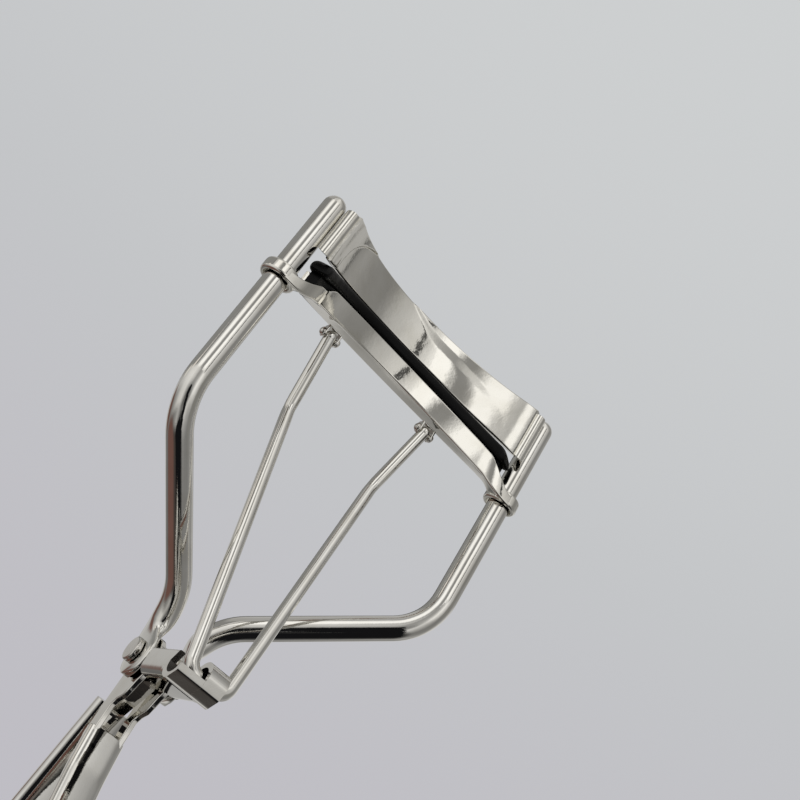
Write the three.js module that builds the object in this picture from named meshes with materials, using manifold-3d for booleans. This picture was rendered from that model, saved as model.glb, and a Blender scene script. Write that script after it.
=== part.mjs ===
// Eyelash curler: millimetres, +Z up the side rods towards the jaws, X along the jaws, -Y the front.
// The origin is the centre of the handle pivot.
import * as THREE from "three";
import { mergeVertices } from "three/addons/utils/BufferGeometryUtils.js";
import Module from "manifold-3d";

const wasm = await Module();
wasm.setup();

// Side rods
const ROD_R = 1.4;
const ROD_X = 19;
const ROD_Y = -12;
const ROD_TOP_Z = 48.45; // centre of the domed end
const CORNER_Z = 19; // where the upright meets the sloping leg, before rounding
const CORNER_R = 7;
const LEG_DIR = [-0.695, 0.497, -0.518]; // of the right rod, going inwards
const LEG_LENGTH = 24.6;
const WAIST_R = 8;
const WAIST_END = [2.6, 1.4, 0.8];
const FLAT_X = 2.6; // mid-plane of the flattened rod end
const FLAT_T = 1;
const FLAT_R = 2.6;
const FLAT_TOP = 3.4;
const ROD_SIDES = 14;
const ROD_STEPS = 44;

// Both jaws bow backwards along arcs about one upright axis, and climb as they go back.
const BOW_Y = -22.6;
const CLIMB = 1 / 1.5; // rise for each millimetre backwards

// Upper jaw
const JAW_R = 18.2; // hollow face
const JAW_T = 0.8;
const JAW_ANGLE = 61.5;
const JAW_LOW_Z = [41.9, 47.7]; // lower edge at the ends and at mid-width
const JAW_HIGH_Z = [49, 53.1];
const ROLL_R = 0.85;
const ROLL_X = 17;
const ROLL_Y = -13.3;
const BOW_STEPS = 34;

// Lower jaw
const CHANNEL_R = 17.3; // face of the front wall
const CHANNEL_DEPTH = 2.7;
const CHANNEL_ANGLE = 57.5;
const CHANNEL_FOLD_Z = 36.5; // underside where the climb starts
const CHANNEL_FOLD_Y = -14.5;
const CHANNEL_H = 2.9;
const CHANNEL_T = 0.5;
const BAND_LOW_Z = 36.4;
const BAND_H = 1.6;
const BAND_BORE = 1.7;
const BAND_R = 2.15;
const TONGUE_X = [14.3, 17.2]; // floor between the channel and each rod
const TONGUE_Y = [-14.2, -11.1];
const STRIP_MEETS_BAND_X = 18.4;
const STRIP_RISE_X = 17.4;
const STRIP_LAP = 0.3; // how far the strip runs into the channel, front and top

// Pad
const STEM_ANGLE = 56;
const BEAD_ANGLE = 58.7; // the bead runs past both ends of the channel
const PAD_GAP = 0.1;
const PAD_H = 4.7; // top above the channel underside
const PAD_LIP_H = 0.25; // underside of the bead above the channel rim
const PAD_OVERHANG = 0.05;
const PAD_SHOULDER = 0.55; // share of the bead's height where its sides start to round
const PAD_EDGE = 0.5;

// Push wire and its ears
const WIRE_R = 0.75;
const EAR_X = 8.4;
const EAR_Y = -5.95;
const EAR_Z = 39.85; // pin
const EAR_TOP = 40.62;
const EAR_BRIDGE_T = 0.28;
const BEAD_R = 0.8;
const PIN_R = 0.3;
const PIN_HOLE_R = 0.42;
const PIN_HEAD_R = 0.55;
const PIN_HEAD_H = 0.25;
const CHEEK_X = 0.9;
const CHEEK_T = 0.35;
const CHEEK_R = 0.8;
const PIN_PLAY = 0.05;
const KINK = [6.95, -5, 30];
const CROSSBAR = [2.3, -13.1, -1];
const WIRE_BEND_R = 1;
const KINK_BEND_R = 8;
const WIRE_SIDES = 10;
const WIRE_STEPS = 90;

// Moving handle
const BARREL_R = 1.85;
const BARREL_BORE = 1.25;
const BARREL_X = [-3.9, 1.4];
const TROUGH_X = -0.9; // left of here the barrel is an open trough
const TROUGH_RIM_Z = [-1.2, -1.05]; // front rim and back rim
const ARM_X = [-3, 2.6];
const ARM_Y = [-11.6, -3.4];
const FLOOR_Z = [-2.1, -1.1];
const FLOOR_EDGE = 0.8; // bevel along the underside
const FLANGE_T = 0.7;
const FLANGE_TOP = 0.7;
const FLANGE_NOSE_Y = [-9.1, -10.2]; // front end at the floor and at the top
const HUB_R = 2.1;
const HUB_HALF = 0.95;
const HUB_LAP = 0.5;
const NECK = [[-0.6, -1.9], [1.9, -0.6], [4.8, -5.4], [4.3, -7.6], [3.3, -6.2]];
const MOVING_SHANK = [[3.9, -5.2], [4.9, -9.5], [7.5, -21]];
const MOVING_BEND_R = [14, 14];

// Finger rings and shanks
const STRIP_W = 4.4;
const STRIP_T = 1.8;
const STRIP_BEVEL = 0.54;
const RING_Y = 15;
const RING_Z = -40;
const RING_R = 11.6;
const RING_STRETCH = 1.16;
const SHANK_END = [9, -27.8]; // where each shank runs into its ring

// Fixed handle
const CHEEK_PLATE_X = [1.2, 1.85];
const CHEEK_PLATE_R = 2.55;
const CHEEK_OUTLINE = [
  [-2.45, -0.7], [-2.2, -2], [-1.75, -2.6], [-1.35, -3.6], [-0.9, -4.4], [0, -4.9],
  [0.5, -5.6], [0.2, -8.6], [2, -8.6], [2.4, -6], [2.5, -0.6],
];
const BRIDGE_Y = [0.3, 2];
const BRIDGE_Z = [-8.6, -7.8];
const FIXED_SHANK = [[1.1, -8.1], [-0.4, -12.5], [-5, -22]];
const FIXED_BEND_R = [12, 14];

// Pivot
const RIVET_R = 0.9;
const RIVET_HOLE_R = 0.98;
const RIVET_HEAD_R = 1.4;
const RIVET_HEAD_X = [3.2, 3.8];

const CLEAR = 12; // reach of cutting tools past what they cut

const chrome = { color: 0xc9c6bf, roughness: 0.14, metalness: 1 };
const steel = { color: 0xb8b4ac, roughness: 0.3, metalness: 1 };
const rubber = { color: 0x0b0b0c, roughness: 0.55, metalness: 0 };

const root = new THREE.Group();

function solid(geometry) {
  const position = geometry.getAttribute("position");
  const bare = new THREE.BufferGeometry().setAttribute("position", position);
  if (geometry.index) bare.setIndex(geometry.index);
  const merged = mergeVertices(bare, 1e-4);
  return new wasm.Manifold(
    new wasm.Mesh({
      numProp: 3,
      vertProperties: new Float32Array(merged.attributes.position.array),
      triVerts: new Uint32Array(merged.index.array),
    }),
  );
}

function union(...parts) {
  return parts.reduce((a, b) => a.add(b));
}

function addNode(name, body, look) {
  const mesh = body.getMesh();
  const geometry = new THREE.BufferGeometry();
  const count = mesh.numVert;
  const xyz = new Float32Array(count * 3);
  for (let i = 0; i < count; i++) {
    xyz.set(mesh.vertProperties.subarray(i * mesh.numProp, i * mesh.numProp + 3), i * 3);
  }
  geometry.setAttribute("position", new THREE.BufferAttribute(xyz, 3));
  geometry.setIndex(new THREE.BufferAttribute(new Uint32Array(mesh.triVerts), 1));
  const node = new THREE.Mesh(geometry, new THREE.MeshStandardMaterial(look));
  node.name = name;
  root.add(node);
}

const vec = (x, y, z) => new THREE.Vector3(x, y, z);

function box(x0, x1, y0, y1, z0, z1) {
  const geometry = new THREE.BoxGeometry(x1 - x0, y1 - y0, z1 - z0);
  geometry.translate((x0 + x1) / 2, (y0 + y1) / 2, (z0 + z1) / 2);
  return solid(geometry);
}

// A cylinder along X.
function bar(radius, x0, x1, y, z, sides = 24) {
  const geometry = new THREE.CylinderGeometry(radius, radius, x1 - x0, sides);
  geometry.rotateZ(-Math.PI / 2);
  geometry.translate((x0 + x1) / 2, y, z);
  return solid(geometry);
}

function ball(radius, x, y, z, sides = 16) {
  const geometry = new THREE.SphereGeometry(radius, sides, sides / 2);
  geometry.translate(x, y, z);
  return solid(geometry);
}

// Straight runs between the points, with each inner corner rounded to its radius.
function bentPath(points, radii) {
  const path = new THREE.CurvePath();
  let from = points[0];
  for (let i = 1; i < points.length - 1; i++) {
    const corner = points[i];
    const back = points[i - 1].clone().sub(corner).normalize();
    const ahead = points[i + 1].clone().sub(corner).normalize();
    const half = back.angleTo(ahead) / 2;
    const run = radii[i - 1] / Math.tan(half);
    const start = corner.clone().addScaledVector(back, run);
    const end = corner.clone().addScaledVector(ahead, run);
    path.add(new THREE.LineCurve3(from, start));
    path.add(new RoundCorner(start, corner, end));
    from = end;
  }
  path.add(new THREE.LineCurve3(from, points[points.length - 1]));
  return path;
}

// The circular arc that touches both lines of a corner.
class RoundCorner extends THREE.Curve {
  constructor(start, corner, end) {
    super();
    const a = start.clone().sub(corner);
    const b = end.clone().sub(corner);
    const half = a.angleTo(b) / 2;
    const toCentre = a.clone().add(b).normalize();
    this.centre = corner.clone().addScaledVector(toCentre, a.length() / Math.cos(half));
    this.first = start.clone().sub(this.centre);
    this.axis = a.clone().cross(b).normalize();
    this.sweep = Math.PI - 2 * half;
  }
  getPoint(t, target = new THREE.Vector3()) {
    const turned = this.first.clone().applyAxisAngle(this.axis, -this.sweep * t);
    return target.copy(this.centre).add(turned);
  }
}

function circleShape(radius, sides) {
  const points = [];
  for (let i = 0; i < sides; i++) {
    const a = (i / sides) * 2 * Math.PI;
    points.push(new THREE.Vector2(radius * Math.cos(a), radius * Math.sin(a)));
  }
  return new THREE.Shape(points);
}

// A section carried along the path. Its plane stays square to the path.
function swept(path, shape, steps) {
  return solid(
    new THREE.ExtrudeGeometry(shape, { extrudePath: path, steps, bevelEnabled: false }),
  );
}

// An outline in the YZ plane, given thickness along X.
function plateYZ(points, x0, x1) {
  const shape = new THREE.Shape(points.map(([y, z]) => new THREE.Vector2(y, z)));
  const geometry = new THREE.ExtrudeGeometry(shape, { depth: x1 - x0, bevelEnabled: false });
  geometry.applyMatrix4(new THREE.Matrix4().set(0, 0, 1, x0, 1, 0, 0, 0, 0, 1, 0, 0, 0, 0, 0, 1));
  return solid(geometry);
}

// An outline in the XY plane, given height along Z.
function plateXY(points, z0, z1) {
  const shape = new THREE.Shape(points.map(([x, y]) => new THREE.Vector2(x, y)));
  const geometry = new THREE.ExtrudeGeometry(shape, { depth: z1 - z0, bevelEnabled: false });
  geometry.translate(0, 0, z0);
  return solid(geometry);
}

// An outline in the XZ plane, given depth along Y.
function plateXZ(points, y0, y1) {
  const shape = new THREE.Shape(points.map(([x, z]) => new THREE.Vector2(x, z)));
  const geometry = new THREE.ExtrudeGeometry(shape, { depth: y1 - y0, bevelEnabled: false });
  geometry.rotateX(Math.PI / 2);
  geometry.translate(0, y1, 0);
  return solid(geometry);
}

const radians = (degrees) => (degrees * Math.PI) / 180;

// A body bent about the jaws' upright axis. outlineAt(angle) gives its section as radius and
// height, anticlockwise with the radius to the right.
function bowed(outlineAt, halfAngle, steps) {
  const positions = [];
  const index = [];
  const flat = outlineAt(0).map(([r, z]) => new THREE.Vector2(r, z));
  const caps = THREE.ShapeUtils.triangulateShape(flat, []);
  const n = flat.length;
  for (let i = 0; i <= steps; i++) {
    const angle = radians(halfAngle) * ((2 * i) / steps - 1);
    for (const [r, z] of outlineAt(angle)) {
      positions.push(r * Math.sin(angle), BOW_Y + r * Math.cos(angle), z);
    }
  }
  for (let i = 0; i < steps; i++) {
    for (let j = 0; j < n; j++) {
      const a = i * n + j;
      const b = i * n + ((j + 1) % n);
      index.push(a, b, b + n, a, b + n, a + n);
    }
  }
  for (const [a, b, c] of caps) {
    index.push(a, c, b);
    index.push(steps * n + a, steps * n + b, steps * n + c);
  }
  const geometry = new THREE.BufferGeometry();
  geometry.setAttribute("position", new THREE.BufferAttribute(new Float32Array(positions), 3));
  geometry.setIndex(index);
  return solid(geometry);
}

// Side rods: domed top, upright, sloping leg and a flattened end with the pivot hole.
function frameRod(side) {
  const corner = vec(ROD_X, ROD_Y, CORNER_Z);
  const waist = corner.clone().addScaledVector(vec(...LEG_DIR).normalize(), LEG_LENGTH);
  const points = [vec(ROD_X, ROD_Y, ROD_TOP_Z), corner, waist, vec(...WAIST_END)];
  for (const p of points) p.x *= side;
  const path = bentPath(points, [CORNER_R, WAIST_R]);
  const round = swept(path, circleShape(ROD_R, ROD_SIDES), ROD_STEPS);
  const dome = ball(ROD_R, side * ROD_X, ROD_Y, ROD_TOP_Z, ROD_SIDES);
  const x0 = side * FLAT_X - FLAT_T / 2;
  const x1 = x0 + FLAT_T;
  const flat = union(bar(FLAT_R, x0, x1, 0, 0), box(x0, x1, -ROD_R, FLAT_R, 0, FLAT_TOP));
  const pressed = union(
    box(-CLEAR, x0, -CLEAR, CLEAR, -CLEAR, FLAT_TOP),
    box(x1, CLEAR, -CLEAR, CLEAR, -CLEAR, FLAT_TOP),
  );
  const rivetHole = bar(RIVET_HOLE_R, -CLEAR, CLEAR, 0, 0);
  return union(round.subtract(pressed), dome, flat).subtract(rivetHole);
}
addNode("frame_rod_left", frameRod(-1), chrome);
addNode("frame_rod_right", frameRod(1), chrome);

// Share of the way from the ends of an arc back to mid-width.
const backShare = (angle, halfAngle) => {
  const end = Math.cos(radians(halfAngle));
  return (Math.cos(angle) - end) / (1 - end);
};
const between = ([a, b], share) => a + (b - a) * share;

// Underside of the lower jaw at an angle along the bow.
const foldZ = (angle) => {
  return CHANNEL_FOLD_Z + (BOW_Y + CHANNEL_R * Math.cos(angle) - CHANNEL_FOLD_Y) * CLIMB;
};

// An upright cylinder.
function post(radius, x, y, z0, z1, sides) {
  const geometry = new THREE.CylinderGeometry(radius, radius, z1 - z0, sides);
  geometry.rotateX(Math.PI / 2);
  geometry.translate(x, y, (z0 + z1) / 2);
  return solid(geometry);
}

// Upper jaw: a waisted, bowed plate whose ends are rolled along the rods.
function upperJaw() {
  const section = (angle) => {
    const share = backShare(angle, JAW_ANGLE);
    const low = between(JAW_LOW_Z, share);
    const high = between(JAW_HIGH_Z, share);
    return [[JAW_R, low], [JAW_R + JAW_T, low], [JAW_R + JAW_T, high], [JAW_R, high]];
  };
  const roll = (side) => post(ROLL_R, side * ROLL_X, ROLL_Y, JAW_LOW_Z[0], JAW_HIGH_Z[0], 16);
  return union(bowed(section, JAW_ANGLE, BOW_STEPS), roll(-1), roll(1));
}
addNode("upper_jaw", upperJaw(), chrome);

// An upright cylinder round the axis of one rod.
const roundRod = (side, radius, z0, z1) => post(radius, side * ROD_X, ROD_Y, z0, z1, 28);

// Strip, floor and band that join one end of the channel to its rod.
function jawEnd(side) {
  const mirrored = (points) => (side < 0 ? points.map(([x, v]) => [-x, v]).reverse() : points);
  const angle = radians(CHANNEL_ANGLE);
  const endX = CHANNEL_R * Math.sin(angle);
  const endY = BOW_Y + CHANNEL_R * Math.cos(angle);
  const low = foldZ(angle);
  const high = low + CHANNEL_H;
  const frontY = ROD_Y - BAND_R;
  const bandTop = BAND_LOW_Z + BAND_H;
  const plan = mirrored([
    [endX, endY],
    [STRIP_MEETS_BAND_X, frontY],
    [STRIP_MEETS_BAND_X, frontY + CHANNEL_T],
    [endX + STRIP_LAP, endY + CHANNEL_T],
  ]);
  const rise = mirrored([
    [endX, low],
    [STRIP_RISE_X, BAND_LOW_Z],
    [ROD_X, BAND_LOW_Z],
    [ROD_X, bandTop],
    [STRIP_RISE_X, bandTop],
    [endX + CHANNEL_T + STRIP_LAP, high],
    [endX, high],
  ]);
  const strip = plateXY(plan, BAND_LOW_Z - CLEAR, high + CLEAR)
    .intersect(plateXZ(rise, frontY - CLEAR, TONGUE_Y[1]));
  const slab = (x, z) => box(x - STRIP_LAP, x, ...TONGUE_Y, z, z + CHANNEL_T);
  const [inner, outer] = TONGUE_X;
  const floor = wasm.Manifold.hull([slab(inner, low), slab(outer, BAND_LOW_Z)]);
  const tongue = side < 0 ? floor.mirror([1, 0, 0]) : floor;
  return union(strip, tongue, roundRod(side, BAND_R, BAND_LOW_Z, bandTop));
}

// Lower jaw: a bowed channel that slides up and down the rods on a band at each end.
function lowerJaw() {
  const r0 = CHANNEL_R;
  const r1 = CHANNEL_R + CHANNEL_DEPTH;
  const t = CHANNEL_T;
  const section = (angle) => {
    const low = foldZ(angle);
    const high = low + CHANNEL_H;
    return [
      [r0, low], [r1, low], [r1, high], [r1 - t, high],
      [r1 - t, low + t], [r0 + t, low + t], [r0 + t, high], [r0, high],
    ];
  };
  const bore = (side) => roundRod(side, BAND_BORE, BAND_LOW_Z - CLEAR, BAND_LOW_Z + CLEAR);
  return union(bowed(section, CHANNEL_ANGLE, BOW_STEPS), jawEnd(-1), jawEnd(1))
    .subtract(bore(-1))
    .subtract(bore(1));
}
addNode("lower_jaw_carrier", lowerJaw(), chrome);

// Pad: a stem in the channel and a rounded bead over its rims.
function lashPad() {
  const stem0 = CHANNEL_R + CHANNEL_T + PAD_GAP;
  const stem1 = CHANNEL_R + CHANNEL_DEPTH - CHANNEL_T - PAD_GAP;
  const bead0 = CHANNEL_R - PAD_OVERHANG;
  const bead1 = CHANNEL_R + CHANNEL_DEPTH + PAD_OVERHANG;
  const seatZ = (angle) => foldZ(angle) + CHANNEL_H + PAD_LIP_H;
  const stem = (angle) => {
    const foot = foldZ(angle) + CHANNEL_T + PAD_GAP;
    const head = seatZ(angle) + PAD_LIP_H;
    return [[stem0, foot], [stem1, foot], [stem1, head], [stem0, head]];
  };
  const bead = (angle) => {
    const seat = seatZ(angle);
    const top = foldZ(angle) + PAD_H;
    const shoulder = seat + (top - seat) * PAD_SHOULDER;
    return [
      [bead0, seat], [bead1, seat], [bead1, shoulder], [bead1 - PAD_EDGE, top],
      [bead0 + PAD_EDGE, top], [bead0, shoulder],
    ];
  };
  return union(bowed(stem, STEM_ANGLE, BOW_STEPS), bowed(bead, BEAD_ANGLE, BOW_STEPS));
}
addNode("lash_pad", lashPad(), rubber);

// Ears under the lower jaw, each with a pin that carries one end of the push wire.
function ear(side) {
  const x = side * EAR_X;
  const cheek = (x0) => {
    return union(
      bar(CHEEK_R, x0, x0 + CHEEK_T, EAR_Y, EAR_Z, 16),
      box(x0, x0 + CHEEK_T, EAR_Y - CHEEK_R, EAR_Y + CHEEK_R, EAR_Z, EAR_TOP),
    );
  };
  const reach = CHEEK_X + CHEEK_T;
  return union(
    cheek(x - reach),
    cheek(x + CHEEK_X),
    box(x - reach, x + reach, EAR_Y - CHEEK_R, EAR_Y + CHEEK_R, EAR_TOP, EAR_TOP + EAR_BRIDGE_T),
  ).subtract(bar(PIN_R + PIN_PLAY, x - CLEAR, x + CLEAR, EAR_Y, EAR_Z, 12));
}

function earPin(side) {
  const x = side * EAR_X;
  const reach = CHEEK_X + CHEEK_T + PIN_PLAY;
  return union(
    bar(PIN_R, x - reach, x + reach, EAR_Y, EAR_Z, 12),
    bar(PIN_HEAD_R, x - reach - PIN_HEAD_H, x - reach, EAR_Y, EAR_Z, 14),
    bar(PIN_HEAD_R, x + reach, x + reach + PIN_HEAD_H, EAR_Y, EAR_Z, 14),
  );
}
addNode("wire_ear_left", ear(-1), chrome);
addNode("wire_ear_right", ear(1), chrome);
addNode("ear_pin_left", earPin(-1), steel);
addNode("ear_pin_right", earPin(1), steel);

// Push wire: one wire from bead to bead, kinked in both arms, with a crossbar at the bottom.
function pushWire() {
  const arm = (side) => [
    vec(side * EAR_X, EAR_Y, EAR_Z),
    vec(side * KINK[0], KINK[1], KINK[2]),
    vec(side * CROSSBAR[0], CROSSBAR[1], CROSSBAR[2]),
  ];
  const points = [...arm(-1), ...arm(1).reverse()];
  const path = bentPath(points, [KINK_BEND_R, WIRE_BEND_R, WIRE_BEND_R, KINK_BEND_R]);
  const wire = swept(path, circleShape(WIRE_R, WIRE_SIDES), WIRE_STEPS);
  const bead = (side) => ball(BEAD_R, side * EAR_X, EAR_Y, EAR_Z, 12);
  const hole = (side) => {
    const x = side * EAR_X;
    return bar(PIN_HOLE_R, x - 2 * BEAD_R, x + 2 * BEAD_R, EAR_Y, EAR_Z, 10);
  };
  return union(wire, bead(-1), bead(1)).subtract(hole(-1)).subtract(hole(1));
}
addNode("push_wire", pushWire(), chrome);

// Corners of the strip that the shanks and rings are made of, with its edges bevelled.
function stripSection(halfU, halfV) {
  const c = STRIP_BEVEL;
  return [
    [-halfU, -halfV + c], [-halfU + c, -halfV], [halfU - c, -halfV], [halfU, -halfV + c],
    [halfU, halfV - c], [halfU - c, halfV], [-halfU + c, halfV], [-halfU, halfV - c],
  ];
}

// A finger ring in the YZ plane, open along X.
function fingerRing(y) {
  const profile = stripSection(STRIP_T / 2, STRIP_W / 2)
    .map(([r, x]) => new THREE.Vector2(RING_R + r, x));
  profile.push(profile[0].clone());
  const geometry = new THREE.LatheGeometry(profile, 40);
  geometry.rotateZ(Math.PI / 2);
  geometry.scale(1, 1, RING_STRETCH);
  geometry.translate(0, y, RING_Z);
  return solid(geometry);
}

// A strip along points in the YZ plane, running into a finger ring.
function shankAndRing(points, radii, side) {
  const way = [...points, [side * SHANK_END[0], SHANK_END[1]]];
  const section = stripSection(STRIP_W / 2, STRIP_T / 2).map(([x, y]) => new THREE.Vector2(x, y));
  const path = bentPath(way.map(([y, z]) => vec(0, y, z)), radii);
  return union(swept(path, new THREE.Shape(section), 28), fingerRing(side * RING_Y));
}

// Lever arm: a channel with its flanges cut back where the push wire swings over it.
function leverArm() {
  const [x0, x1] = ARM_X;
  const [y0, y1] = ARM_Y;
  const [z0, z1] = FLOOR_Z;
  const [footY, tipY] = FLANGE_NOSE_Y;
  const t = FLANGE_T;
  const e = FLOOR_EDGE;
  const outline = [
    [x0, FLANGE_TOP], [x0, z0 + e], [x0 + e, z0], [x1 - e, z0], [x1, z0 + e], [x1, FLANGE_TOP],
    [x1 - t, FLANGE_TOP], [x1 - t, z1], [x0 + t, z1], [x0 + t, FLANGE_TOP],
  ];
  const nose = [
    [y0 - CLEAR, z1], [footY, z1], [tipY, FLANGE_TOP], [tipY, CLEAR], [y0 - CLEAR, CLEAR],
  ];
  return plateXZ(outline, y0, y1).subtract(plateYZ(nose, x0 - CLEAR, x1 + CLEAR));
}

// Moving handle: barrel, arm, hub, neck, shank and finger ring in one piece.
function movingHandle() {
  const [, barY, barZ] = CROSSBAR;
  const [z0, z1] = FLOOR_Z;
  const [left, right] = BARREL_X;
  const bore = bar(BARREL_BORE, left - CLEAR, right + CLEAR, barY, barZ);
  const [frontRim, backRim] = TROUGH_RIM_Z;
  const opening = union(
    box(left - CLEAR, TROUGH_X, barY - CLEAR, barY, frontRim, CLEAR),
    box(left - CLEAR, TROUGH_X, barY, barY + BARREL_R, backRim, CLEAR),
  );
  const front = union(bar(BARREL_R, left, right, barY, barZ).subtract(opening), leverArm());
  const back = union(
    box(-HUB_HALF, HUB_HALF, ARM_Y[1] - HUB_LAP, 0, z0, z1),
    bar(HUB_R, -HUB_HALF, HUB_HALF, 0, 0),
    plateYZ(NECK, -HUB_HALF, HUB_HALF),
    shankAndRing(MOVING_SHANK, MOVING_BEND_R, 1),
  );
  return union(front.subtract(bore), back).subtract(bar(RIVET_HOLE_R, -CLEAR, CLEAR, 0, 0));
}
addNode("moving_handle", movingHandle(), chrome);

// Fixed handle: two cheeks between the rods and the hub, a bridge, a shank and a finger ring.
function fixedHandle() {
  const [inner, outer] = CHEEK_PLATE_X;
  const cheek = (x0, x1) => {
    return union(bar(CHEEK_PLATE_R, x0, x1, 0, 0), plateYZ(CHEEK_OUTLINE, x0, x1));
  };
  return union(
    cheek(-outer, -inner),
    cheek(inner, outer),
    box(-outer, outer, ...BRIDGE_Y, ...BRIDGE_Z),
    shankAndRing(FIXED_SHANK, FIXED_BEND_R, -1),
  ).subtract(bar(RIVET_HOLE_R, -CLEAR, CLEAR, 0, 0));
}
addNode("fixed_handle", fixedHandle(), chrome);

// Pivot rivet: shaft and two heads.
function pivotRivet() {
  const [inner, outer] = RIVET_HEAD_X;
  return union(
    bar(RIVET_R, -inner, inner, 0, 0),
    bar(RIVET_HEAD_R, inner, outer, 0, 0),
    bar(RIVET_HEAD_R, -outer, -inner, 0, 0),
  );
}
addNode("pivot_rivet", pivotRivet(), steel);

export default root;
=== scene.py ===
"""Eyelash curler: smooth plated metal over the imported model. Shapes are worked in millimetres."""
import math

import bmesh
import bpy
import numpy as np
from mathutils import Matrix, Vector


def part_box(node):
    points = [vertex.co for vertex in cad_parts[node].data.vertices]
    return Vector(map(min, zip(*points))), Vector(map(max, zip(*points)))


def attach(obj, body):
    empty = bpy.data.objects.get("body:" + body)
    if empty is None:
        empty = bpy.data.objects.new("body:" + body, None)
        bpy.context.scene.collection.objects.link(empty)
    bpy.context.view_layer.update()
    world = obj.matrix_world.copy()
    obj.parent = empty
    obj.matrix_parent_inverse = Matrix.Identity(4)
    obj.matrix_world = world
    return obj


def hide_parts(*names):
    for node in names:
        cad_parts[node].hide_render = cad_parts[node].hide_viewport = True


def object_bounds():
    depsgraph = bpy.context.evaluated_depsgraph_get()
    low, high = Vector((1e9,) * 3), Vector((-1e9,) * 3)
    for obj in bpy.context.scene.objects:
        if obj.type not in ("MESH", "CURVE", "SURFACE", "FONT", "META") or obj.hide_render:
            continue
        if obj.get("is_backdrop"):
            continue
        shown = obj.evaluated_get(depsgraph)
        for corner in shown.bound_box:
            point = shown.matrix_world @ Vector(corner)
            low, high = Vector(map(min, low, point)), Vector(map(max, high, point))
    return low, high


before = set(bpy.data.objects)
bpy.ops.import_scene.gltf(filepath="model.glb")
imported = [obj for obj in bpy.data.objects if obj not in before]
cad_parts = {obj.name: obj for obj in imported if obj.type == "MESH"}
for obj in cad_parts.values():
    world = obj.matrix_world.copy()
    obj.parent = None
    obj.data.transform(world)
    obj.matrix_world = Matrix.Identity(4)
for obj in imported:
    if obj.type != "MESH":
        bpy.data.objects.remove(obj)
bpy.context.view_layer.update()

MM = 0.001
TAU = 2 * math.pi
TIP_R = 0.004  # the last loop of a rounded end, closed with one small face
DOME_STEPS = 6


def mm_box(node):
    low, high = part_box(node)
    return np.array(low) / MM, np.array(high) / MM


# ---------------------------------------------------------------- sizes
# The rods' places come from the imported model, and the rest repeats its driving dimensions.
_, rod_high = mm_box("frame_rod_right")
ROD_R = 1.4
ROD_X = rod_high[0] - ROD_R
ROD_Y = -12.0
ROD_TOP = rod_high[2] - ROD_R
CORNER_Z = 19.0
LEG = Vector((-0.695, 0.497, -0.518)).normalized()
LEG_LENGTH = 24.6
FLAT_X, FLAT_HALF, FLAT_R = 2.6, 0.5, 2.6  # the flattened end that the rivet goes through
WAIST_END = Vector((FLAT_X, 1.4, 0.8))
FLAT_FROM = 5.0  # height at which a rod starts to flatten

BOW_Y = -22.6
JAW_R, JAW_T, JAW_ANGLE = 18.2, 0.7, 61.5
JAW_LOW, JAW_HIGH = (41.9, 47.7), (49.0, 53.1)  # at the ends, and in the middle
DISH_HALF = math.radians(53)
ROLL_R, ROLL_X, ROLL_Y = 0.85, 17.0, -13.3

CHANNEL_R, CHANNEL_DEPTH, CHANNEL_ANGLE = 17.3, 2.7, 57.5
CHANNEL_H, CHANNEL_T = 2.9, 0.5
FOLD_Z, FOLD_Y, CLIMB = 36.5, -14.5, 1 / 1.5
WALL_LEAVES = math.radians(51)  # where the front wall leaves the bow for the bands
WALL_STARTS = {1: math.radians(-50.5), -1: math.radians(47)}  # of the right strip, and the left one
BAND_LOW, BAND_H, BAND_BORE, BAND_R = 36.4, 1.6, 1.7, 2.15

STEM_ANGLE, BEAD_ANGLE, PAD_H = 56.0, 60.6, 4.7
PAD_GAP = 0.06  # between the stem and the channel's walls

WIRE_R, EYE_R = 0.75, 0.8
EAR = (8.4, -5.95, 39.85)
EAR_REACH, EAR_T, EAR_R, EAR_TOP = 1.08, 0.26, 0.66, 1.05
KINK = (6.95, -5.0, 30.0)
CROSSBAR = (2.3, -13.1, -1.0)

TONGUE_HALF = 0.95  # the moving handle where it passes between the cheeks
LEVER_NEAR, LEVER_UNDER, LEVER_FLOOR, LEVER_TOP = -3.4, -2.1, -1.1, 0.7
BORE_R, BARREL_R = 1.25, 1.85
TROUGH_X, BARREL_X = (-3.9, -0.9), (-0.9, 1.4)  # the barrel's open stretch, and its closed one
CHEEK_IN, CHEEK_OUT = 1.2, 1.85
RING_Y, RING_Z, RING_R, RING_STRETCH = 15.0, -40.0, 11.6, 1.16


# ---------------------------------------------------------------- materials
def nodes_of(name):
    material = bpy.data.materials.new(name)
    material.use_nodes = True
    tree = material.node_tree
    return material, tree, tree.nodes["Principled BSDF"]


def add(tree, kind, **settings):
    node = tree.nodes.new(kind)
    for key, value in settings.items():
        setattr(node, key, value)
    return node


def noise(tree, scale, detail=3.0, rough=0.55):
    place = add(tree, "ShaderNodeTexCoord")
    made = add(tree, "ShaderNodeTexNoise")
    made.inputs["Scale"].default_value = scale
    made.inputs["Detail"].default_value = detail
    made.inputs["Roughness"].default_value = rough
    tree.links.new(place.outputs["Object"], made.inputs["Vector"])
    return made


def spread(tree, source, low, high, from_low=0.3, from_high=0.7):
    """Stretches a noise's middle values over the range low to high."""
    made = add(tree, "ShaderNodeMapRange")
    made.inputs["From Min"].default_value = from_low
    made.inputs["From Max"].default_value = from_high
    made.inputs["To Min"].default_value = low
    made.inputs["To Max"].default_value = high
    tree.links.new(source.outputs[0], made.inputs["Value"])
    return made


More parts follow.
